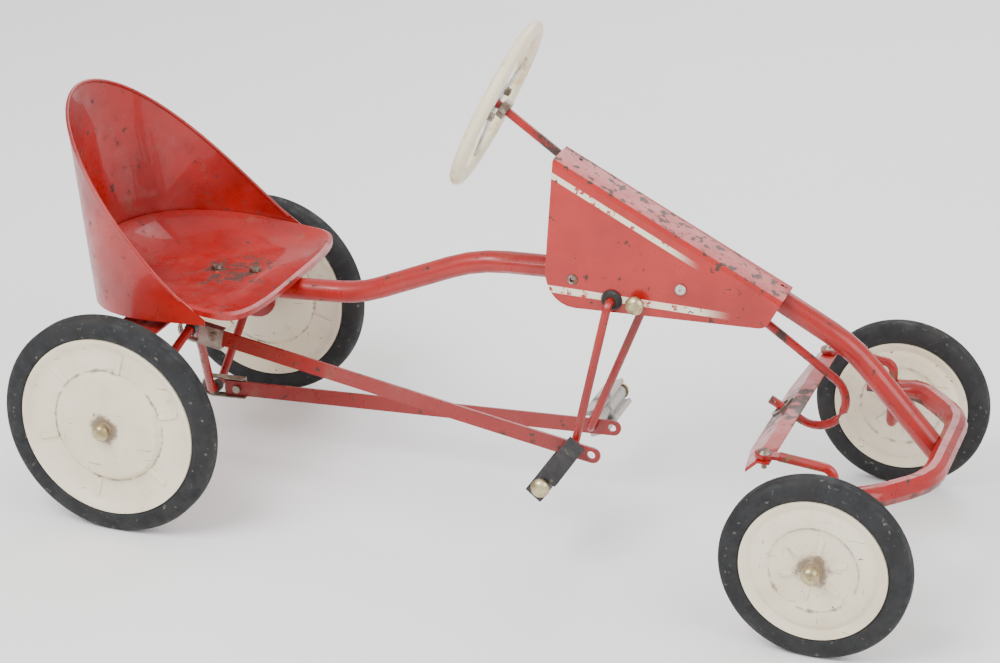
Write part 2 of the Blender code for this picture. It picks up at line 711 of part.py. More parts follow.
def build_treadle(side):
    s = SIDE[side]
    px, pz = TREADLE_PIVOT[side]
    sx, sz = SPINDLE[side]
    end_y = COVER_W / 2 + 0.0085
    path = fillet([place(px, -s * end_y, pz), place(px, s * TREADLE_Y, pz), place(sx, s * TREADLE_Y, sz),
                   place(sx, s * (PEDAL_OUT + 0.002), sz)], [0.009, 0.009], radians(18))
    rod("treadle_rod_" + side, path, ROD_R, "red", sides=10, origin=place(px, 0, pz))
    cap = dome(0.0105, 0.0030, 0.0055)
    lathe("pivot_cap_" + side, cap, place(px, -s * (end_y + GAP), pz), (0, -s, 0), "brass", 14, False)
    lathe("pedal_cap_" + side, cap, place(sx, s * (PEDAL_OUT + 0.002 + GAP), sz), (0, s, 0), "brass",
          14, False)
    ring = [(ROD_R + GAP, 0), (0.0095, 0), (0.0095, 0.0018), (ROD_R + GAP, 0.0018)]
    lathe("retainer_" + side, ring, place(sx, s * (BAR_Y + BAR_T / 2 + GAP), sz), (0, s, 0), "rubber", 16)


def build_pedal(side):
    """Moulded pedal block: two pads joined to a centre tube by a web."""
    s = SIDE[side]
    sx, sz = SPINDLE[side]
    pad_half, pad_in, pad_out, hub, web = 0.0105, 0.0105, 0.0155, 0.0085, 0.0035
    outline = [(-pad_half, pad_out), (-pad_half, pad_in), (-web, pad_in), (-web, hub)]
    for k in range(1, 6):
        angle = pi / 2 + pi * k / 6
        outline.append((hub * cos(angle), hub * sin(angle)))
    outline += [(-web, -hub), (-web, -pad_in), (-pad_half, -pad_in), (-pad_half, -pad_out)]
    outline += [(-x, -y) for x, y in outline]
    high = max(s * PEDAL_IN, s * PEDAL_OUT)
    turn = Matrix.Rotation(PAD_TILT[side] - pi / 2, 4, "Z")
    item = prism("pedal_" + side, outline, PEDAL_OUT - PEDAL_IN, "black", side_frame(high, (sx, sz)) @ turn)
    drill(item, [(place(sx, s * (PEDAL_IN + PEDAL_OUT) / 2, sz), (0, 1, 0), ROD_R + GAP, 0.12)])


# ---- steering -----------------------------------------------------------------------
COLUMN_DIR = Vector((cos(COLUMN_SLOPE), 0, -sin(COLUMN_SLOPE)))
HOOK_DIR = Vector((-0.878, 0, 0.479))
HOOK_CORNER = 0.4973           # along the column, where the hook's first bend would meet
HOOK_TURN = (0.7514, 0.1390)
HOOK_HOLE_R = 0.0100
PIN_R = 0.0011
FLANGE_SLOPE = radians(46)
FLANGE_W = 0.0325
FLANGE_T = 0.0025
FOLD_X = 0.7165


def column_point(distance):
    return place(COLUMN_TOP[0], FRAME_Y, COLUMN_TOP[1]) + COLUMN_DIR * distance


def hook_crossing():
    """Where the column's hooked end goes through the tie bar's rear flange."""
    turn = place(HOOK_TURN[0], FRAME_Y, HOOK_TURN[1])
    fold = place(FOLD_X, FRAME_Y, TIE_TOP_Z)
    normal = Vector((-sin(FLANGE_SLOPE), 0, cos(FLANGE_SLOPE)))
    reach = (fold - turn).dot(normal) / HOOK_DIR.dot(normal)
    return turn + HOOK_DIR * reach, normal


def build_column():
    corner = column_point(HOOK_CORNER)
    turn = place(HOOK_TURN[0], FRAME_Y, HOOK_TURN[1])
    crossing, normal = hook_crossing()
    path = fillet([column_point(-0.004), corner, turn, crossing + HOOK_DIR * 0.016], [0.032, 0.032],
                  radians(12))
    rod("steering_column", path, ROD_R, "red", sides=10, origin=column_point(0))
    column = bpy.data.objects["steering_column"]
    ring = [(HOOK_HOLE_R, 0), (0.0150, 0), (0.0150, 0.0014), (HOOK_HOLE_R, 0.0014)]
    lathe("hook_washer", ring, crossing + normal * GAP, normal, "steel", 16)
    across = HOOK_DIR.cross(Vector((0, 1, 0))).normalized() * 0.5 + Vector((0, 0.866, 0))
    pin_spot = crossing + HOOK_DIR * 0.0105
    drill(column, [(pin_spot, across, PIN_R + GAP, 0.03)])
    loop_side = HOOK_DIR * 0.0042
    head = pin_spot + across * (ROD_R + 0.0030)
    loop = [pin_spot - across * (ROD_R + 0.0050), head, head + loop_side + across * 0.0040,
            head + across * 0.0085]
    rod("cotter_pin", fillet(loop, [0.002, 0.002], radians(30)), PIN_R, "steel", sides=8)


SPOKE_T = 0.0020


def build_hand_wheel():
    hub = column_point(0)
    width = (RIM_OUTER_R - RIM_INNER_R) / 2
    middle = (RIM_OUTER_R + RIM_INNER_R) / 2
    depth = 0.0070
    section = []
    for k in range(8):
        angle = 2 * pi * k / 8 + pi / 8
        section.append((middle + width * cos(angle) / cos(pi / 8), depth * sin(angle) / cos(pi / 8)))
    lathe("steering_wheel_rim", section, hub, RIM_AXIS, "rim", 36)
    arms = 4
    half, reach, root = 0.0085, RIM_INNER_R - 0.0006, 0.016
    outline = []
    for k in range(arms):
        turn = pi / 2 * k
        for x, y in ((root, -half), (reach, -half * 0.8), (reach, half * 0.8), (root, half)):
            outline.append((x * cos(turn) - y * sin(turn), x * sin(turn) + y * cos(turn)))
    rotation = RIM_AXIS.to_track_quat("Z", "Y").to_matrix().to_4x4()
    spin = Matrix.Rotation(radians(20), 4, "Z")
    spokes = prism("steering_wheel_spokes", outline, SPOKE_T, "zinc",
                   Matrix.Translation(hub) @ rotation @ spin @ Matrix.Translation((0, 0, -SPOKE_T / 2)))
    drill(spokes, [(hub, RIM_AXIS, 0.0075, 0.02)])
    collar = lathe("hub_collar", [(0, 0.0060), (0.0110, 0.0060), (0.0110, 0.0150), (0, 0.0150)], hub,
                   COLUMN_DIR, "steel", 6, False)
    drill(collar, [(hub + COLUMN_DIR * 0.010, COLUMN_DIR, ROD_R + GAP, 0.03)])
    for number, distance in (("upper", 0.024), ("lower", -0.024)):
        spot = spokes.matrix_world @ Vector((distance, 0, SPOKE_T))
        drill(spokes, [(spot, RIM_AXIS, 0.0028, 0.02)])
        screw = [(0, 0.0060), (0.0045, 0.0050), (0.0050, GAP), (0.0024, GAP), (0.0024, -0.0060),
                 (0, -0.0060)]
        lathe("spoke_screw_" + number, screw, spot, RIM_AXIS, "steel", 12, False)


def build_tie_bar():
    down = Vector((-cos(FLANGE_SLOPE), -sin(FLANGE_SLOPE)))
    under = Vector((sin(FLANGE_SLOPE), -cos(FLANGE_SLOPE))) * FLANGE_T
    fold = Vector((FOLD_X, TIE_TOP_Z))
    tip = fold + down * FLANGE_W
    front_x = 0.7315
    inner_z = TIE_TOP_Z - FLANGE_T
    elbow = fold + under + down * ((under.y + FLANGE_T) / -down.y * -1)
    outline = [(front_x, TIE_TOP_Z), fold[:], tip[:], (tip + under)[:], (elbow.x, inner_z),
               (front_x, inner_z)]
    half = 0.157
    item = prism("tie_bar", outline, 2 * half, "red", side_frame(half))
    cutters = []
    for s in (-1, 1):
        bevel = [(-0.0093, 0.004), (-0.060, 0.004), (-0.060, -0.078), (-0.0236, -0.078)]
        flat = Matrix.Translation(place(FOLD_X, s * half, 0.1))
        flip = Matrix.Scale(-s, 4, (0, 1, 0))
        cutters.append(prism("corner", [(x, -y) for x, y in bevel], 0.12, "black", flat @ flip))
        apply_matrix(cutters[-1])
    cut(item, cutters)
    crossing, normal = hook_crossing()
    drill(item, [(crossing, normal, HOOK_HOLE_R, 0.02)]
          + [(place(EYE_X, s * eye_y(), TIE_TOP_Z), (0, 0, 1), 0.0032, 0.02) for s in (-1, 1)])


def eye_y():
    return KINGPIN_Y


def build_knuckle(side):
    """One bent rod: steering arm, kingpin and wheel spindle, with a flattened eye."""
    s = SIDE[side]
    corners = [(EYE_X + 0.0155, s * eye_y(), EYE_Z), (KINGPIN_X, s * KINGPIN_Y, 0.1760),
               (KINGPIN_X, s * KINGPIN_Y, FRONT_TYRE_R), (KINGPIN_X, s * SPINDLE_END, FRONT_TYRE_R)]
    path = fillet([place(*c) for c in corners], [0.012, 0.012], radians(18))
    origin = place(KINGPIN_X, s * KINGPIN_Y, CROSS_Z)
    item = rod("knuckle_" + side, path, AXLE_R, "red", sides=10, origin=origin)
    eye = lathe("eye", [(0, -0.0020), (0.0105, -0.0020), (0.0105, 0.0020), (0, 0.0020)],
                place(EYE_X, s * eye_y(), EYE_Z), (0, 0, 1), "red", 20, False)
    neck = box("neck", (0.0180, 0.0120, 0.0040), place(EYE_X + 0.0130, s * eye_y(), EYE_Z))
    for part in (eye, neck):
        boolean = item.modifiers.new("join", "BOOLEAN")
        boolean.operation = "UNION"
        boolean.solver = "EXACT"
        boolean.object = part
    apply_modifiers(item)
    for part in (eye, neck):
        bpy.data.objects.remove(part)
    drill(item, [(place(EYE_X, s * eye_y(), EYE_Z), (0, 0, 1), 0.0032, 0.02)])
    profile = [(0, 0.0062), (0.0050, 0.0056), (0.0078, 0.0020 + GAP), (0.0029, 0.0020 + GAP),
               (0.0029, -0.0055), (0.0045, -0.0055), (0.0045, -0.0100), (0.0029, -0.0100),
               (0.0029, -0.0150), (0, -0.0155)]
    lathe("tie_bolt_" + side, profile, place(EYE_X, s * eye_y(), EYE_Z), (0, 0, 1), "steel", 12, False)


# ---- wheels -------------------------------------------------------------------------
WHEEL_STEPS = 20
HUB_R = 0.0088
HUB_HALF = {"rear": 0.0205, "front": 0.0172}


def tyre_profile(rim, outer):
    half = [(rim - 0.0050, 0.0083), (rim - 0.0012, 0.0096), (rim + 0.0008, 0.0106),
            (rim + 0.0026, 0.0128), (rim + 0.0100, 0.0139), (outer - 0.0045, 0.0118), (outer, 0.0070)]
    return half + [(r, -h) for r, h in reversed(half)]


def disc_profile(rim, face, hub):
    """Two stamped discs in section, joined by the rim channel, open at the inner hub."""
    lip = [(rim - 0.0078, 0.0095), (rim - 0.0008, 0.0128), (rim + 0.0002, 0.0120), (rim - 0.0053, 0.0087)]
    crown, step = face[0][1], min(h for _, h in face)
    front = [(HUB_R, crown)] + face + lip
    back = [(r, -h) for r, h in reversed(face + lip)] + [(HUB_R + 0.0024, -crown)]
    inside = [(HUB_R + 0.0024, 0.0012 - crown), (face[-2][0] - 0.0015, 0.0012 - step),
              (rim - 0.0068, 0.0012 - step)]
    inside += [(r, -h) for r, h in reversed(inside[1:])]
    bore = AXLE_R + GAP
    return ([(bore, -hub), (bore, hub), (HUB_R, hub)] + front + back + inside
            + [(HUB_R, crown - 0.0012), (HUB_R, -hub)])


REAR_FACE = [(0.0300, 0.0172), (0.0600, 0.0122), (0.0650, 0.0060), (0.0900, 0.0055)]
FRONT_FACE = [(0.0440, 0.0078), (0.0490, 0.0112), (0.0620, 0.0112), (0.0670, 0.0085)]


def build_wheel(name, x, y, tyre_r, rim, face):
    s = 1 if y > 0 else -1
    centre = place(x, y, tyre_r)
    axis = (0, s, 0)
    hub = HUB_HALF[name.split("_")[0]]
    lathe(name + "_disc", disc_profile(rim, face, hub), centre, axis, "cream", WHEEL_STEPS)
    lathe(name + "_tyre", tyre_profile(rim, tyre_r), centre, axis, "rubber", WHEEL_STEPS)
    cap = dome(0.0098, 0.0045, 0.0060)
    spot = centre + Vector(axis) * cap_height(name)
    lathe(name + "_cap", cap, spot, axis, "brass", 12, False)


def cap_height(name):
    """Distance from the wheel's middle to the end of its axle."""
    if name.startswith("rear"):
        return REAR_AXLE_END + GAP - REAR_TRACK / 2
    return SPINDLE_END + GAP - FRONT_TRACK / 2


def main():
    clear_scene()
    build_main_tube()
    build_cross_tube()
    build_cover()
    build_cover_fixings()
    build_seat_back()
    build_seat_pan()
    build_seat_fixings()
    build_axle_bracket()
    build_crank()
    for side in SIDE:
        build_bar(side)
        build_strap(side)
        build_treadle(side)
        build_pedal(side)
        build_knuckle(side)
        build_wheel("rear_wheel_" + side, 0, SIDE[side] * REAR_TRACK / 2, REAR_TYRE_R, 0.1038, REAR_FACE)
        build_wheel("front_wheel_" + side, WHEELBASE, SIDE[side] * FRONT_TRACK / 2, FRONT_TYRE_R, 0.0767,
                    FRONT_FACE)
    build_column()
    build_hand_wheel()
    build_tie_bar()


if __name__ == "__main__":
    main()
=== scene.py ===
"""Looks of an old pedal car: detailed pieces, worn finishes and a plain studio stage."""

import json
from math import cos, pi, radians, sin

import bpy
from bpy.props import BoolProperty, FloatProperty, IntProperty, PointerProperty
from mathutils import Matrix, Vector

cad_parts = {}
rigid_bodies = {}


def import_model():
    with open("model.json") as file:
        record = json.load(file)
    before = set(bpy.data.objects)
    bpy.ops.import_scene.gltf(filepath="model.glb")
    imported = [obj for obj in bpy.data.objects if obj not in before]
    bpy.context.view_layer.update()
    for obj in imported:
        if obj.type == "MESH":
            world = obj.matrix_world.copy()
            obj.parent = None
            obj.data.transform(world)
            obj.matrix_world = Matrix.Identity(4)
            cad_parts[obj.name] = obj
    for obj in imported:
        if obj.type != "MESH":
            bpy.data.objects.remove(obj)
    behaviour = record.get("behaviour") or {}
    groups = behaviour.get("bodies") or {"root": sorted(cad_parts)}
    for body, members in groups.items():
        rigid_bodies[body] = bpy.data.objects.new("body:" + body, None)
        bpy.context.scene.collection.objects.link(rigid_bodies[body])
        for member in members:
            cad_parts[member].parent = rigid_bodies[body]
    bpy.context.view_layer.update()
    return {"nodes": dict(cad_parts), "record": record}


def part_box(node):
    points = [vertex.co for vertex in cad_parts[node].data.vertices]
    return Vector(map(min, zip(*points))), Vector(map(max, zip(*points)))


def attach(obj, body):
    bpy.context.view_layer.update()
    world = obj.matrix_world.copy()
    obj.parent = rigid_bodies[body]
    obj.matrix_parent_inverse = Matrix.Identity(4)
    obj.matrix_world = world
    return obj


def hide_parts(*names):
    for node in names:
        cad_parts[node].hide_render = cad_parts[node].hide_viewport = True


bl_info = {
    "name": "Pedal Car Looks",
    "version": (1, 0, 0),
    "blender": (4, 5, 0),
    "location": "3D View > Sidebar > Pedal Car",
    "description": "Builds the detailed wheels, hand wheel, pedals, hem, finishes and stage of a pedal car",
    "category": "Object",
}

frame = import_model()

REAR_AXLE_X = -0.38325         # rear axle, from the part's origin

# Wheels: seat of the tyre on each disc, and the six pressed ribs on each face
RIM = {"rear": 0.1038, "front": 0.0767}
TYRE_WALL = 0.0139             # widest half width of a tyre
TREAD_GROOVES = (0.0058, 0.0034, 0.0012)
GROOVE_DEPTH = 0.0006
BORE_R = 0.0056
HUB_R = 0.0086
RIB_COUNT = 6
RIB_WIDTH = 0.0060
RIB_START = 0.3                # turn of the first rib, in radians
RIBS = {"rear": (0.0775, 0.0060, 0.024), "front": (0.0270, 0.0078, 0.018)}   # radius, level, length
RIB_ROUNDING = 0.9             # bevel, as a share of the rib's height

# Hand wheel: a rounded rim, tilted on its column
RIM_AXIS = Vector((0.906, 0.079, -0.414)).normalized()
HAND_RIM_OUTER = 0.0992
HAND_RIM_INNER = 0.0796
HAND_RIM_DEPTH = 0.0073
HAND_RIM_SIDES = 20

# Seat back: a shell whose rim follows powers of the sine of the turn
SHELL_HALF_W = 0.1448
SHELL_TIP_X = 0.0899
SHELL_ROUND = 0.6833
SHELL_FOOT_X = -0.1003         # where the back stands at SHELL_FOOT_Z
SHELL_FOOT_Z = 0.200
SHELL_LEAN = -0.1224
SHELL_LOW = 0.2387
SHELL_RISE = 0.2058
SHELL_RISE_POWER = 0.86
HEM_DROP = 0.0012
HEM_INSET = 0.0014
HEM_STEPS = 72
HEM_SPAN = (0.02, 0.96)        # start and length of the hem, as shares of half a turn

# Hood: the slope of its fold, and the two cream flashes on its sides
HOOD_RUN, HOOD_RISE = 0.8934, -0.4492
HOOD_LEVEL = 0.41374           # height of the fold, square to its slope
HOOD_SIDE = (0.0242, 0.0250)   # where the sides begin, across the car
UPPER_FLASH = (-0.0165, 0.0032)   # middle line below the fold, half width
UPPER_FLASH_FADE = (0.190, 0.235)
LOWER_FLASH = (0.2830, 0.0040)
LOWER_FLASH_SLOPE = -0.02
LOWER_FLASH_FADE = (0.225, 0.270)
FLASH_EDGE = 0.0003

# Places where paint is worn or grimy, and the wheel grooves where shade is painted
SEAT_BOLTS = (0.054 + REAR_AXLE_X, 0.011, 0.238)
GRIMY_HUB_R = 0.0095
# painted shade: radius of the groove on each wheel disc, which is darkened
GROOVE_SHADE_R = {"rear": 0.0655, "front": 0.0465}

# Stage
FLOOR_SIZE = 14
LIGHTS = (("key", (-0.9, -1.9, 2.6), 1.8, 1.0), ("fill", (2.4, -1.2, 1.7), 2.2, 0.45),
          ("back", (0.2, 2.4, 2.4), 2.4, 0.55))   # name, place, size, share of the main power
LIGHT_AIM = Vector((0, 0, 0.2))
WORLD_STRENGTH = {True: 1.0, False: 0.2}
CAMERA_PLACE = (1.28151 + REAR_AXLE_X, -2.45278, 1.31716)
CAMERA_TURN = (radians(67.06), 0, radians(20.15))
CAMERA_LENS = 91.865
CAMERA_REACH = 60.0
MERGE = 0.00002                # points closer than this are one


# ---- settings -----------------------------------------------------------------------
class PedalCarSettings(bpy.types.PropertyGroup):
    steps: IntProperty(
        name="Wheel Steps", description="Segments round each wheel", default=96, min=24, max=192)
    rib_height: FloatProperty(
        name="Rib Height", description="Height of the pressed ribs on the wheel discs",
        default=0.0010, min=0.0002, max=0.003, unit="LENGTH")
    pedal_bevel: FloatProperty(
        name="Pedal Bevel", description="Rounding of the moulded pedal blocks",
        default=0.0014, min=0.0002, max=0.003, unit="LENGTH")
    hem_radius: FloatProperty(
        name="Hem Radius", description="Radius of the rolled hem on the seat back",
        default=0.0021, min=0.001, max=0.004, unit="LENGTH")
    wear: FloatProperty(
        name="Wear", description="How much paint has chipped away", default=0.5, min=0.0, max=1.0,
        subtype="FACTOR")
    soft_light: FloatProperty(
        name="Soft Light", description="Power of the main studio light", default=95.0, min=0.0,
        unit="POWER")
    backdrop: BoolProperty(
        name="Pale World", description="Light the scene from a pale surround as well", default=True)


# ---- mesh helpers -------------------------------------------------------------------
def deselect():
    """Clear the selection, as every edit starts from nothing selected."""
    bpy.ops.object.select_all(action="DESELECT")


def activate(item):
    """Make one object the only selected and active one."""
    deselect()
    item.select_set(True)
    bpy.context.view_layer.objects.active = item


def bake(item):
    """Apply an object's place, so the finished piece sits at the origin."""
    activate(item)
    bpy.ops.object.transform_apply(location=True, rotation=True, scale=True)


def ring_solid(name, profile, steps):
    """Extrude a ring of vertices along a closed (radius, height) profile about +Z."""
    deselect()
    radius, height = profile[0]
    bpy.ops.mesh.primitive_circle_add(vertices=steps, radius=radius, location=(0, 0, 0))
    item = bpy.context.object
    item.name = name
    bpy.ops.object.mode_set(mode="EDIT")
    bpy.ops.mesh.select_all(action="SELECT")
    bpy.ops.transform.translate(value=(0, 0, height))
    for next_radius, next_height in profile[1:] + profile[:1]:
        bpy.ops.mesh.extrude_edges_move()
        scale = next_radius / radius
        bpy.ops.transform.resize(value=(scale, scale, 1), center_override=(0, 0, 0))
        bpy.ops.transform.translate(value=(0, 0, next_height - height))
        radius, height = next_radius, next_height
    bpy.ops.mesh.select_all(action="SELECT")
    bpy.ops.mesh.remove_doubles(threshold=MERGE)
    bpy.ops.mesh.normals_make_consistent(inside=False)
    bpy.ops.object.mode_set(mode="OBJECT")
    return item


def rounded_block(name, size, place, bevel):
    """A block with rounded edges, given its size and its 4x4 place."""
    deselect()
    bpy.ops.mesh.primitive_cube_add(size=1, location=(0, 0, 0))
    item = bpy.context.object
    item.name = name
    item.scale = size
    bake(item)
    modifier = item.modifiers.new("round", "BEVEL")
    modifier.width = bevel
    modifier.segments = 3
    bpy.ops.object.modifier_apply(modifier="round")
    item.matrix_world = place
    bake(item)
    return item


def join(items, name):
    """Join several pieces into the first of them."""
    deselect()
    for item in items:
        item.select_set(True)
    bpy.context.view_layer.objects.active = items[0]
    bpy.ops.object.join()
    items[0].name = name
    return items[0]


def smooth(item, angle):
    """Shade a piece smoothly, but keep edges sharper than an angle in degrees."""
    activate(item)
    bpy.ops.object.shade_smooth_by_angle(angle=radians(angle))


def stand_on_axis(item, centre, axis):
    """Turn a piece built about +Z so that it lies about an axis through centre."""
    item.matrix_world = (Matrix.Translation(centre)
                         @ axis.to_track_quat("Z", "Y").to_matrix().to_4x4())
    bake(item)


def middle(node):
    """The middle of a CAD node's box."""
    low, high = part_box(node)
    return (Vector(low) + Vector(high)) / 2


def copy_of(node, name):
    """A merged copy of a CAD node's mesh, ready for modifiers."""
    source = frame["nodes"][node]
    item = bpy.data.objects.new(name, source.data.copy())
    bpy.context.scene.collection.objects.link(item)
    activate(item)
    bpy.ops.object.mode_set(mode="EDIT")
    bpy.ops.mesh.select_all(action="SELECT")
    bpy.ops.mesh.remove_doubles(threshold=MERGE)
    bpy.ops.mesh.dissolve_limited(angle_limit=radians(1))
    bpy.ops.mesh.normals_make_consistent(inside=False)
    bpy.ops.object.mode_set(mode="OBJECT")
    return item


# ---- wheels -------------------------------------------------------------------------
def tyre_section(rim, outer):
    """Half a tyre: bead, crowned wall, shoulder and a tread with fine grooves."""
    half = [(rim - 0.0048, 0.0085), (rim - 0.0010, 0.0098), (rim + 0.0008, 0.0108),
            (rim + 0.0018, 0.0122), (rim + 0.0032, 0.0133), (rim + 0.0070, TYRE_WALL),
            (rim + 0.0115, 0.0136), (outer - 0.0060, 0.0124), (outer - 0.0030, 0.0108),
            (outer - 0.0012, 0.0090), (outer - 0.0003, 0.0072)]
    for height in TREAD_GROOVES:
        half += [(outer, height + 0.0005), (outer - GROOVE_DEPTH, height),
                 (outer, height - 0.0005)]
    return half + [(r, -h) for r, h in reversed(half)]


def disc_section(kind, rim):
    """A pressed disc in section: hub, crown, groove, flat and rolled lip."""
    if kind == "rear":
        reach, crown = 0.0204, 0.0172
        face = [(HUB_R + 0.0012, crown + 0.0002), (0.0290, crown), (0.0335, 0.0168),
                (0.0580, 0.0124), (0.0605, 0.0116), (0.0640, 0.0064), (0.0665, 0.0058),
                (0.0890, 0.0056), (0.0925, 0.0064)]
    else:
        reach, crown = 0.0171, 0.0078
        face = [(HUB_R + 0.0012, crown + 0.0002), (0.0420, crown), (0.0455, 0.0086),
                (0.0480, 0.0108), (0.0500, 0.0112), (0.0610, 0.0112), (0.0632, 0.0106),
                (0.0655, 0.0088), (0.0672, 0.0086)]
    lip = [(rim - 0.0072, 0.0099), (rim - 0.0036, 0.0118), (rim - 0.0014, 0.0128),
           (rim - 0.0002, 0.0128), (rim + 0.0002, 0.0121)]
    half = [(BORE_R, reach), (HUB_R, reach)] + face + lip
    return half + [(r, -h) for r, h in reversed(half)]


class PEDALCAR_OT_wheels(bpy.types.Operator):
    """Replace the four wheels with finely turned tyres and pressed, ribbed discs"""
    bl_idname = "pedalcar.wheels"
    bl_label = "Build Wheels"

    def execute(self, context):
        settings = context.scene.pedal_car
        for kind in ("rear", "front"):
            for side in ("near", "far"):
                self.build(kind, side, settings)
        return {"FINISHED"}

    def build(self, kind, side, settings):
        stem = "%s_wheel_%s" % (kind, side)
        low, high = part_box(stem + "_tyre")
        centre = (Vector(low) + Vector(high)) / 2
        outer = (high[2] - low[2]) / 2
        axis = Vector((0, -1 if side == "near" else 1, 0))
        tyre = ring_solid(stem + "_tyre_turned", tyre_section(RIM[kind], outer), settings.steps)
        stand_on_axis(tyre, centre, axis)
        disc = ring_solid(stem + "_disc_pressed", disc_section(kind, RIM[kind]), settings.steps)
        disc = join([disc] + self.ribs(kind, settings.rib_height), disc.name)
        stand_on_axis(disc, centre, axis)
        for piece, node, finish in ((tyre, "_tyre", "tyre_rubber"), (disc, "_disc", "wheel_paint")):
            smooth(piece, 35)
            piece.data.materials.clear()
            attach(piece, stem)
            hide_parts(stem + node)

    def ribs(self, kind, height):
        """Six short radial ribs on each face."""
        radius, level, length = RIBS[kind]
        blocks = []
        for face in (1, -1):
            for index in range(RIB_COUNT):
                turn = Matrix.Rotation(index * 2 * pi / RIB_COUNT + RIB_START, 4, "Z")
                place = turn @ Matrix.Translation((radius, 0, face * level))
                blocks.append(rounded_block("rib", (length, RIB_WIDTH, 4 * height), place,
                                            height * RIB_ROUNDING))
        return blocks


class PEDALCAR_OT_hand_wheel(bpy.types.Operator):
    """Replace the moulded rim of the hand wheel with a smooth one"""
    bl_idname = "pedalcar.hand_wheel"
    bl_label = "Build Hand Wheel"

    def execute(self, context):
        centre = middle("steering_wheel_rim")
        mean = (HAND_RIM_OUTER + HAND_RIM_INNER) / 2
        half = (HAND_RIM_OUTER - HAND_RIM_INNER) / 2
        section = []
        for index in range(HAND_RIM_SIDES):
            angle = 2 * pi * index / HAND_RIM_SIDES
            section.append((mean + half * cos(angle), HAND_RIM_DEPTH * sin(angle)))
        rim = ring_solid("hand_wheel_rim_moulded", section, context.scene.pedal_car.steps)
        stand_on_axis(rim, centre, RIM_AXIS)
        smooth(rim, 60)
        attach(rim, "steering")
        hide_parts("steering_wheel_rim")
        return {"FINISHED"}


class PEDALCAR_OT_pedals(bpy.types.Operator):
    """Replace the pedal blocks with copies that have rounded moulded edges"""
    bl_idname = "pedalcar.pedals"
    bl_label = "Build Pedals"

    def execute(self, context):
        for side in ("near", "far"):
            piece = copy_of("pedal_" + side, "pedal_%s_moulded" % side)
            modifier = piece.modifiers.new("round", "BEVEL")
            modifier.width = context.scene.pedal_car.pedal_bevel
            modifier.segments = 3
            modifier.limit_method = "ANGLE"
            modifier.angle_limit = radians(50)
            bpy.ops.object.modifier_apply(modifier="round")
            smooth(piece, 40)
            piece.data.materials.clear()
            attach(piece, "pedal_body_" + side)
            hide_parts("pedal_" + side)
        return {"FINISHED"}


class PEDALCAR_OT_seat_hem(bpy.types.Operator):
    """Roll a hem along the upper edge of the seat back"""
    bl_idname = "pedalcar.seat_hem"
    bl_label = "Build Seat Hem"

    def execute(self, context):
        path = [self.rim_point(index / HEM_STEPS) for index in range(HEM_STEPS + 1)]
        curve = bpy.data.curves.new("seat_hem_path", "CURVE")
        curve.dimensions = "3D"
        curve.bevel_depth = context.scene.pedal_car.hem_radius
        curve.bevel_resolution = 3
        curve.use_fill_caps = True
        spline = curve.splines.new("POLY")
        spline.points.add(HEM_STEPS)
        for point, spot in zip(spline.points, path):
            point.co = (*spot, 1)
        hem = bpy.data.objects.new("seat_hem", curve)
        context.scene.collection.objects.link(hem)
        activate(hem)
        bpy.ops.object.convert(target="MESH")
        hem = context.object
        smooth(hem, 60)
        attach(hem, "frame")
        return {"FINISHED"}

    def rim_point(self, share):
        """A point on the shell's upper edge, at a share of the hem's length."""
        turn = pi * (HEM_SPAN[0] + HEM_SPAN[1] * share)
        back = sin(turn)
        z = SHELL_LOW + SHELL_RISE * back ** SHELL_RISE_POWER - HEM_DROP
        apex = SHELL_FOOT_X + SHELL_LEAN * (z - SHELL_FOOT_Z) + HEM_INSET
        x = SHELL_TIP_X - (SHELL_TIP_X - apex) * back ** SHELL_ROUND
        return (x + REAR_AXLE_X, -(SHELL_HALF_W - HEM_INSET) * cos(turn), z)


ROUND_NODES = ("seat_back", "seat_pan", "main_tube", "front_axle_tube", "steering_column", "crank_axle",
               "treadle_rod_near", "treadle_rod_far", "knuckle_near", "knuckle_far", "grommet_near",
               "grommet_far", "pivot_cap_near", "pivot_cap_far", "pedal_cap_near", "pedal_cap_far",
               "rear_wheel_near_cap", "rear_wheel_far_cap", "front_wheel_near_cap",
               "front_wheel_far_cap", "cotter_pin", "steering_cover", "axle_bracket")


class PEDALCAR_OT_smooth_copies(bpy.types.Operator):
    """Replace the round bars, caps and sheet pieces with smoothly shaded copies"""
    bl_idname = "pedalcar.smooth_copies"
    bl_label = "Smooth Round Pieces"

    def execute(self, context):
        bodies = frame["record"]["behaviour"]["bodies"]
        for node in ROUND_NODES:
            piece = copy_of(node, node + "_smoothed")
            smooth(piece, 32)
            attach(piece, next(body for body, nodes in bodies.items() if node in nodes))
            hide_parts(node)
        return {"FINISHED"}


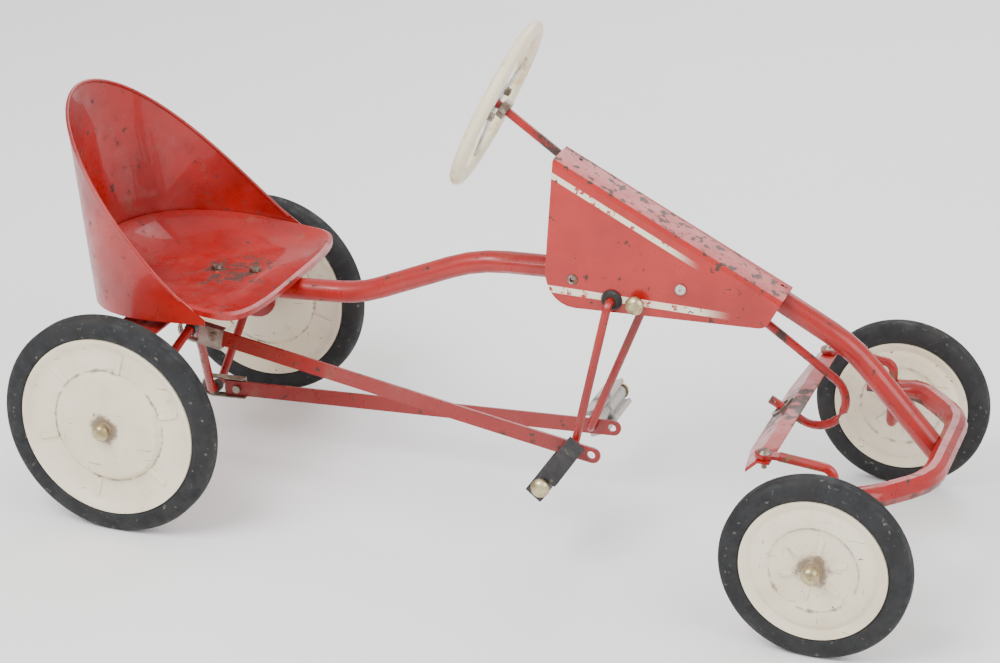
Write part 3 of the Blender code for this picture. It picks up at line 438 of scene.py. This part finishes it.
# ---- finishes -----------------------------------------------------------------------
class Finish:
    """Builds one procedural material, node by node."""

    def __init__(self, name):
        self.material = bpy.data.materials.new(name)
        self.material.use_nodes = True
        self.tree = self.material.node_tree
        self.shader = self.tree.nodes["Principled BSDF"]
        self.coordinates = self.tree.nodes.new("ShaderNodeTexCoord").outputs["Object"]

    def link(self, source, target):
        self.tree.links.new(source, target)

    def noise(self, scale, detail=5.0, roughness=0.6, stretch=(1, 1, 1)):
        mapping = self.tree.nodes.new("ShaderNodeMapping")
        mapping.inputs["Scale"].default_value = stretch
        self.link(self.coordinates, mapping.inputs["Vector"])
        node = self.tree.nodes.new("ShaderNodeTexNoise")
        node.inputs["Scale"].default_value = scale
        node.inputs["Detail"].default_value = detail
        node.inputs["Roughness"].default_value = roughness
        self.link(mapping.outputs["Vector"], node.inputs["Vector"])
        return node.outputs["Fac"]

    def step(self, value, low, high, out_low=0.0, out_high=1.0):
        node = self.tree.nodes.new("ShaderNodeMapRange")
        node.interpolation_type = "SMOOTHSTEP"
        for name, number in (("From Min", low), ("From Max", high), ("To Min", out_low),
                             ("To Max", out_high)):
            node.inputs[name].default_value = number
        self.link(value, node.inputs["Value"])
        return node.outputs["Result"]

    def math(self, operation, first, second):
        node = self.tree.nodes.new("ShaderNodeMath")
        node.operation = operation
        for socket, value in zip(node.inputs, (first, second)):
            if isinstance(value, (int, float)):
                socket.default_value = value
            else:
                self.link(value, socket)
        return node.outputs["Value"]

    def axis(self, name, source=None):
        node = self.tree.nodes.new("ShaderNodeSeparateXYZ")
        self.link(source or self.coordinates, node.inputs["Vector"])
        return node.outputs[name]

    def absolute(self, value):
        return self.math("ABSOLUTE", value, 0.0)

    def along(self, direction):
        """Distance of each point along a direction, from the part's origin."""
        node = self.tree.nodes.new("ShaderNodeVectorMath")
        node.operation = "DOT_PRODUCT"
        self.link(self.coordinates, node.inputs[0])
        node.inputs[1].default_value = direction
        return node.outputs["Value"]

    def mix(self, amount, first, second):
        node = self.tree.nodes.new("ShaderNodeMix")
        node.data_type = "RGBA"
        self.link(amount, node.inputs["Factor"])
        for socket, value in ((node.inputs[6], first), (node.inputs[7], second)):
            if isinstance(value, tuple):
                socket.default_value = (*value, 1)
            else:
                self.link(value, socket)
        return node.outputs[2]

    def close(self, colour, roughness, bump_from, strength, distance=0.0006, metallic=None,
              coat=0.0):
        self.link(colour, self.shader.inputs["Base Color"])
        self.link(roughness, self.shader.inputs["Roughness"])
        if metallic is not None:
            self.link(metallic, self.shader.inputs["Metallic"])
        self.shader.inputs["Coat Weight"].default_value = coat
        bump = self.tree.nodes.new("ShaderNodeBump")
        bump.inputs["Strength"].default_value = strength
        bump.inputs["Distance"].default_value = distance
        self.link(bump_from, bump.inputs["Height"])
        self.link(bump.outputs["Normal"], self.shader.inputs["Normal"])
        return self.material


BROWN = (0.055, 0.022, 0.013)
RED = (0.36, 0.006, 0.004)
DEEP_RED = (0.24, 0.004, 0.003)
RUST = (0.17, 0.060, 0.022)
CREAM = (0.80, 0.72, 0.55)
# brown for dirt on the paint, also used for the painted shade in the wheel grooves
GRIME_AND_SHADE = (0.16, 0.10, 0.055)


def painted(name, base, deep, under, wear, chip_scale=90.0, patina=None, coat=0.25):
    """Chipped gloss paint: patchy colour, dark chips with an edge, fine scratches and dirt."""
    finish = Finish(name)
    patches = finish.step(finish.noise(9.0, 6.0), 0.38, 0.66)
    colour = finish.mix(patches, base, deep)
    grime = finish.step(finish.noise(28.0, 8.0, 0.7), 0.56, 0.74, 0.0, 0.5)
    colour = finish.mix(grime, colour, GRIME_AND_SHADE)
    chips = finish.step(finish.noise(chip_scale, 9.0, 0.62), 0.685 - 0.10 * wear, 0.71 - 0.10 * wear)
    scratches = finish.step(finish.noise(60.0, 4.0, 0.5, (0.25, 1.0, 6.0)), 0.70, 0.73, 0.0, 0.6)
    bare = finish.math("MAXIMUM", chips, scratches)
    if patina is not None:
        bare = finish.math("MAXIMUM", bare, patina(finish))
    colour = finish.mix(bare, colour, under)
    roughness = finish.step(finish.noise(45.0, 7.0), 0.3, 0.7, 0.24, 0.46)
    roughness = finish.math("ADD", roughness, finish.math("MULTIPLY", bare, 0.3))
    height = finish.math("SUBTRACT", finish.math("MULTIPLY", finish.noise(240.0, 3.0), 0.25), bare)
    return finish.close(colour, roughness, height, 0.35, coat=coat)


def hood_paint(name, wear):
    """The hood's red with two cream flashes along its sides."""
    finish = Finish(name)
    patches = finish.step(finish.noise(10.0, 6.0), 0.40, 0.66)
    colour = finish.mix(patches, (0.40, 0.009, 0.005), (0.31, 0.006, 0.004))
    fold = finish.math("SUBTRACT", finish.along((-HOOD_RISE, 0, HOOD_RUN)), HOOD_LEVEL)
    forward = finish.axis("X")
    side = finish.step(finish.absolute(finish.axis("Y")), *HOOD_SIDE)
    upper = finish.math("MULTIPLY", band(finish, fold, *UPPER_FLASH),
                        finish.step(forward, *UPPER_FLASH_FADE, 1.0, 0.0))
    lower_line = finish.math("SUBTRACT", finish.axis("Z"),
                             finish.math("MULTIPLY", forward, LOWER_FLASH_SLOPE))
    lower = finish.math("MULTIPLY", band(finish, lower_line, *LOWER_FLASH),
                        finish.step(forward, *LOWER_FLASH_FADE, 1.0, 0.0))
    flash = finish.math("MULTIPLY", finish.math("MAXIMUM", upper, lower), side)
    rubbed = finish.step(finish.noise(110.0, 7.0), 0.56, 0.62, 1.0, 0.0)
    colour = finish.mix(finish.math("MULTIPLY", flash, rubbed), colour, CREAM)
    near_fold = finish.step(finish.absolute(fold), 0.0, 0.0065, 0.10, 0.0)
    chip_field = finish.math("ADD", finish.noise(95.0, 9.0, 0.62), near_fold)
    chips = finish.step(chip_field, 0.675 - 0.06 * wear, 0.70 - 0.06 * wear)
    colour = finish.mix(chips, colour, BROWN)
    roughness = finish.math("ADD", finish.step(finish.noise(40.0, 6.0), 0.3, 0.7, 0.26, 0.42),
                            finish.math("MULTIPLY", chips, 0.35))
    height = finish.math("SUBTRACT", finish.math("MULTIPLY", finish.noise(200.0, 3.0), 0.2), chips)
    return finish.close(colour, roughness, height, 0.35, coat=0.25)


def band(finish, value, centre, half):
    """A stripe where a value lies within half of its centre."""
    distance = finish.absolute(finish.math("SUBTRACT", value, centre))
    return finish.step(distance, half - FLASH_EDGE, half + FLASH_EDGE, 1.0, 0.0)


def wheel_paint(name, wear, centre, hub, groove):
    """Cream enamel with grime round the hub, painted shade in the groove, scratches and rust specks."""
    finish = Finish(name)
    offset = finish.tree.nodes.new("ShaderNodeVectorMath")
    offset.operation = "SUBTRACT"
    finish.link(finish.coordinates, offset.inputs[0])
    offset.inputs[1].default_value = centre
    flat = finish.tree.nodes.new("ShaderNodeVectorMath")
    flat.operation = "MULTIPLY"
    finish.link(offset.outputs["Vector"], flat.inputs[0])
    flat.inputs[1].default_value = (1, 0, 1)
    length = finish.tree.nodes.new("ShaderNodeVectorMath")
    length.operation = "LENGTH"
    finish.link(flat.outputs["Vector"], length.inputs[0])
    radius = length.outputs["Value"]
    patches = finish.step(finish.noise(12.0, 6.0), 0.40, 0.68)
    colour = finish.mix(patches, CREAM, (0.70, 0.60, 0.43))
    near_hub = finish.step(radius, hub, hub * 2.6, 0.34, 0.0)
    # painted shade: the groove, a recess, is darkened, and joins the grime round the hub
    groove_shade = finish.step(finish.absolute(finish.math("SUBTRACT", radius, groove)),
                            0.0, 0.0035, 0.20, 0.0)
    field = finish.math("ADD", finish.math("MAXIMUM", near_hub, groove_shade),
                        finish.noise(55.0, 9.0, 0.68))
    # grime round the hub and painted shade in the groove, mixed in as one dark field
    colour = finish.mix(finish.step(field, 0.60, 0.84, 0.0, 0.85), colour, GRIME_AND_SHADE)
    scratches = finish.step(finish.noise(70.0, 4.0, 0.5, (0.3, 1.0, 5.0)), 0.70, 0.72, 0.0, 0.7)
    more = finish.step(finish.noise(80.0, 4.0, 0.5, (5.0, 1.0, 0.4)), 0.71, 0.73, 0.0, 0.6)
    chips = finish.step(finish.noise(95.0, 9.0, 0.62), 0.70 - 0.06 * wear, 0.72 - 0.06 * wear)
    bare = finish.math("MAXIMUM", chips, finish.math("MAXIMUM", scratches, more))
    colour = finish.mix(bare, colour, (0.15, 0.08, 0.04))
    roughness = finish.step(finish.noise(45.0, 7.0), 0.3, 0.7, 0.32, 0.55)
    return finish.close(colour, roughness, finish.math("SUBTRACT", 0.0, bare), 0.3, coat=0.1)


def rubber(name, dark, dusty, low, high):
    """Matte rubber with dust in patches and fine scuffs."""
    finish = Finish(name)
    dust = finish.step(finish.noise(30.0, 8.0, 0.7), low, high)
    colour = finish.mix(dust, dark, dusty)
    scuffs = finish.step(finish.noise(150.0, 6.0), 0.62, 0.72, 0.0, 0.5)
    colour = finish.mix(scuffs, colour, (0.20, 0.18, 0.15))
    roughness = finish.step(finish.noise(60.0, 6.0), 0.3, 0.7, 0.55, 0.85)
    return finish.close(colour, roughness, finish.noise(420.0, 5.0), 0.30)


def metal(name, bright, dull, rust, amount):
    """Bare metal, tarnished in patches and spotted with rust."""
    finish = Finish(name)
    tarnish = finish.step(finish.noise(70.0, 7.0), 0.40, 0.62)
    colour = finish.mix(tarnish, bright, dull)
    spots = finish.step(finish.noise(210.0, 8.0, 0.65), 0.66 - 0.2 * amount, 0.74 - 0.2 * amount)
    colour = finish.mix(spots, colour, rust)
    roughness = finish.math("ADD", finish.step(finish.noise(120.0, 6.0), 0.3, 0.7, 0.30, 0.50),
                            finish.math("MULTIPLY", spots, 0.25))
    metallic = finish.step(spots, 0.0, 1.0, 0.95, 0.15)
    return finish.close(colour, roughness, spots, 0.4, metallic=metallic)


def plastic(name, base, stain, low, high, roughness=(0.32, 0.55)):
    """Moulded plastic with stains and dark nicks."""
    finish = Finish(name)
    stains = finish.step(finish.noise(24.0, 8.0, 0.68), low, high)
    colour = finish.mix(stains, base, stain)
    nicks = finish.step(finish.noise(130.0, 8.0, 0.6), 0.685, 0.72)
    colour = finish.mix(nicks, colour, BROWN)
    rough = finish.step(finish.noise(80.0, 6.0), 0.3, 0.7, *roughness)
    return finish.close(colour, rough, finish.math("SUBTRACT", finish.noise(300.0, 3.0), nicks), 0.2)


def down_facing_brown(finish):
    """Brown where a tube faces down."""
    # darkens to brown the faces that point down, broken up by noise
    normal = finish.tree.nodes.new("ShaderNodeNewGeometry").outputs["Normal"]
    down = finish.math("MULTIPLY", finish.axis("Z", normal), -1.0)
    ragged = finish.math("ADD", down, finish.math("MULTIPLY", finish.noise(70.0, 8.0), 1.1))
    return finish.step(ragged, 0.75, 1.05)


def column_patina(finish):
    """Worn along the column: sound at the hand wheel, bare and rusty near the hood."""
    forward = finish.axis("X")
    rise = finish.step(forward, 0.02, 0.07)
    fall = finish.step(forward, 0.10, 0.30, 1.0, 0.35)
    field = finish.math("MULTIPLY", finish.math("MULTIPLY", rise, fall), 0.35)
    return finish.step(finish.math("ADD", field, finish.noise(80.0, 9.0)), 0.62, 0.72)


def worn_middle(finish):
    """Rubbed bare in the middle of the tie bar."""
    across = finish.absolute(finish.axis("Y"))
    field = finish.step(across, 0.0, 0.10, 0.26, 0.0)
    return finish.step(finish.math("ADD", field, finish.noise(85.0, 9.0)), 0.66, 0.74)


def seat_scuffs(finish):
    """Dark scuffs round the seat bolts."""
    gap = finish.tree.nodes.new("ShaderNodeVectorMath")
    gap.operation = "DISTANCE"
    finish.link(finish.coordinates, gap.inputs[0])
    gap.inputs[1].default_value = SEAT_BOLTS
    field = finish.step(gap.outputs["Value"], 0.01, 0.09, 0.24, 0.0)
    return finish.step(finish.math("ADD", field, finish.noise(70.0, 9.0, 0.65)), 0.66, 0.78)


class PEDALCAR_OT_finishes(bpy.types.Operator):
    """Give every piece its own worn, procedural finish"""
    bl_idname = "pedalcar.finishes"
    bl_label = "Apply Finishes"

    def execute(self, context):
        wear = context.scene.pedal_car.wear
        slots = {row["node"]: row["material_slot"] for row in frame["record"]["subparts"]}
        replaced = self.pieces()
        for node, item in frame["nodes"].items():
            self.dress(item, self.finish(node, slots[node], wear))
        for item, node in replaced.items():
            self.dress(item, self.finish(node, slots[node], wear))
        return {"FINISHED"}

    def pieces(self):
        """Each detailed piece, with the node whose finish it takes."""
        found = {}
        for item in bpy.data.objects:
            for ending in ("_turned", "_pressed", "_moulded", "_smoothed"):
                if item.name.endswith(ending):
                    found[item] = item.name[:-len(ending)].replace("hand_wheel", "steering_wheel")
        found[bpy.data.objects["seat_hem"]] = "seat_back"
        return found

    def dress(self, item, material):
        item.data.materials.clear()
        item.data.materials.append(material)
        for face in item.data.polygons:
            face.material_index = 0

    def finish(self, node, slot, wear):
        name = node + "_finish"
        if node == "steering_cover":
            return hood_paint(name, wear)
        if slot == "red_paint":
            patina = {"front_axle_tube": down_facing_brown, "steering_column": column_patina,
                      "tie_bar": worn_middle, "seat_pan": seat_scuffs}.get(node)
            if node.startswith(("treadle", "crank", "knuckle")):
                return painted(name, DEEP_RED, RED, RUST, wear + 0.35, 70.0)
            if node.startswith("connecting_bar"):
                return painted(name, DEEP_RED, (0.24, 0.014, 0.011), BROWN, wear + 0.1, 80.0)
            return painted(name, RED, DEEP_RED, BROWN, wear, patina=patina)
        if slot == "wheel_paint":
            return wheel_paint(name, wear, middle(node), GRIMY_HUB_R, GROOVE_SHADE_R[node.split("_")[0]])
        if slot == "tyre_rubber":
            return rubber(name, (0.007, 0.0075, 0.009), (0.040, 0.032, 0.024), 0.52, 0.80)
        if slot == "black_rubber":
            return rubber(name, (0.014, 0.013, 0.012), (0.06, 0.045, 0.03), 0.5, 0.75)
        if slot == "rim_plastic":
            return plastic(name, (0.83, 0.74, 0.52), (0.58, 0.40, 0.20), 0.50, 0.72)
        if node == "pedal_far":
            return plastic(name, (0.50, 0.48, 0.45), (0.10, 0.09, 0.08), 0.46, 0.60, (0.5, 0.8))
        if slot == "pedal_plastic":
            return plastic(name, (0.020, 0.020, 0.022), (0.36, 0.28, 0.12), 0.60, 0.74, (0.4, 0.7))
        if slot == "bushing_plastic":
            return plastic(name, (0.018, 0.018, 0.020), (0.10, 0.07, 0.04), 0.55, 0.75)
        if slot == "zinc_steel":
            return metal(name, (0.62, 0.61, 0.58), (0.36, 0.34, 0.30), RUST, 0.15)
        if slot == "cap_brass":
            return metal(name, (0.58, 0.50, 0.30), (0.34, 0.27, 0.15), (0.10, 0.07, 0.03), 0.35)
        return metal(name, (0.34, 0.30, 0.26), (0.15, 0.11, 0.08), RUST, 0.45)


# ---- stage --------------------------------------------------------------------------
class PEDALCAR_OT_stage(bpy.types.Operator):
    """Lay a pale floor and set the soft lights and the camera"""
    bl_idname = "pedalcar.stage"
    bl_label = "Set Stage"

    def execute(self, context):
        settings = context.scene.pedal_car
        deselect()
        bpy.ops.mesh.primitive_plane_add(size=FLOOR_SIZE, location=(0, 0, 0))
        floor = context.object
        floor.name = "floor"
        finish = Finish("floor_finish")
        colour = finish.mix(finish.noise(3.0, 3.0), (0.93, 0.93, 0.93), (0.96, 0.96, 0.955))
        finish.close(colour, finish.step(finish.noise(5.0), 0.0, 1.0, 0.6, 0.8), finish.noise(90.0), 0.02)
        floor.data.materials.append(finish.material)
        for name, place, size, share in LIGHTS:
            self.light(name, place, size, settings.soft_light * share)
        world = bpy.data.worlds.new("pale")
        world.use_nodes = True
        shade = world.node_tree.nodes["Background"]
        shade.inputs["Color"].default_value = (1.0, 1.0, 1.0, 1)
        shade.inputs["Strength"].default_value = WORLD_STRENGTH[settings.backdrop]
        context.scene.world = world
        camera = bpy.data.cameras.new("camera")
        camera.sensor_width = 36.0
        camera.lens = CAMERA_LENS
        camera.clip_end = CAMERA_REACH
        view = bpy.data.objects.new("camera", camera)
        view.location = CAMERA_PLACE
        view.rotation_euler = CAMERA_TURN
        context.scene.collection.objects.link(view)
        context.scene.camera = view
        return {"FINISHED"}

    def light(self, name, place, size, power):
        data = bpy.data.lights.new(name, "AREA")
        data.shape = "DISK"
        data.size = size
        data.energy = power
        lamp = bpy.data.objects.new(name, data)
        lamp.location = place
        aim = LIGHT_AIM - Vector(place)
        lamp.rotation_euler = aim.to_track_quat("-Z", "Y").to_euler()
        bpy.context.scene.collection.objects.link(lamp)


class PEDALCAR_PT_panel(bpy.types.Panel):
    """The pedal car's settings and build buttons"""
    bl_label = "Pedal Car"
    bl_idname = "PEDALCAR_PT_panel"
    bl_space_type = "VIEW_3D"
    bl_region_type = "UI"
    bl_category = "Pedal Car"

    def draw(self, context):
        settings = context.scene.pedal_car
        for name in ("steps", "rib_height", "pedal_bevel", "hem_radius", "wear", "soft_light",
                     "backdrop"):
            self.layout.prop(settings, name)
        for operator in OPERATORS:
            self.layout.operator(operator.bl_idname)


OPERATORS = (PEDALCAR_OT_wheels, PEDALCAR_OT_hand_wheel, PEDALCAR_OT_pedals,
             PEDALCAR_OT_seat_hem, PEDALCAR_OT_smooth_copies, PEDALCAR_OT_finishes, PEDALCAR_OT_stage)
CLASSES = (PedalCarSettings,) + OPERATORS + (PEDALCAR_PT_panel,)


def register():
    for cls in CLASSES:
        bpy.utils.register_class(cls)
    bpy.types.Scene.pedal_car = PointerProperty(type=PedalCarSettings)


def unregister():
    del bpy.types.Scene.pedal_car
    for cls in reversed(CLASSES):
        bpy.utils.unregister_class(cls)


def main():
    register()
    for operator in OPERATORS:
        name = operator.bl_idname.split(".")[1]
        getattr(bpy.ops.pedalcar, name)()
    bpy.context.view_layer.update()


if __name__ == "__main__":
    main()
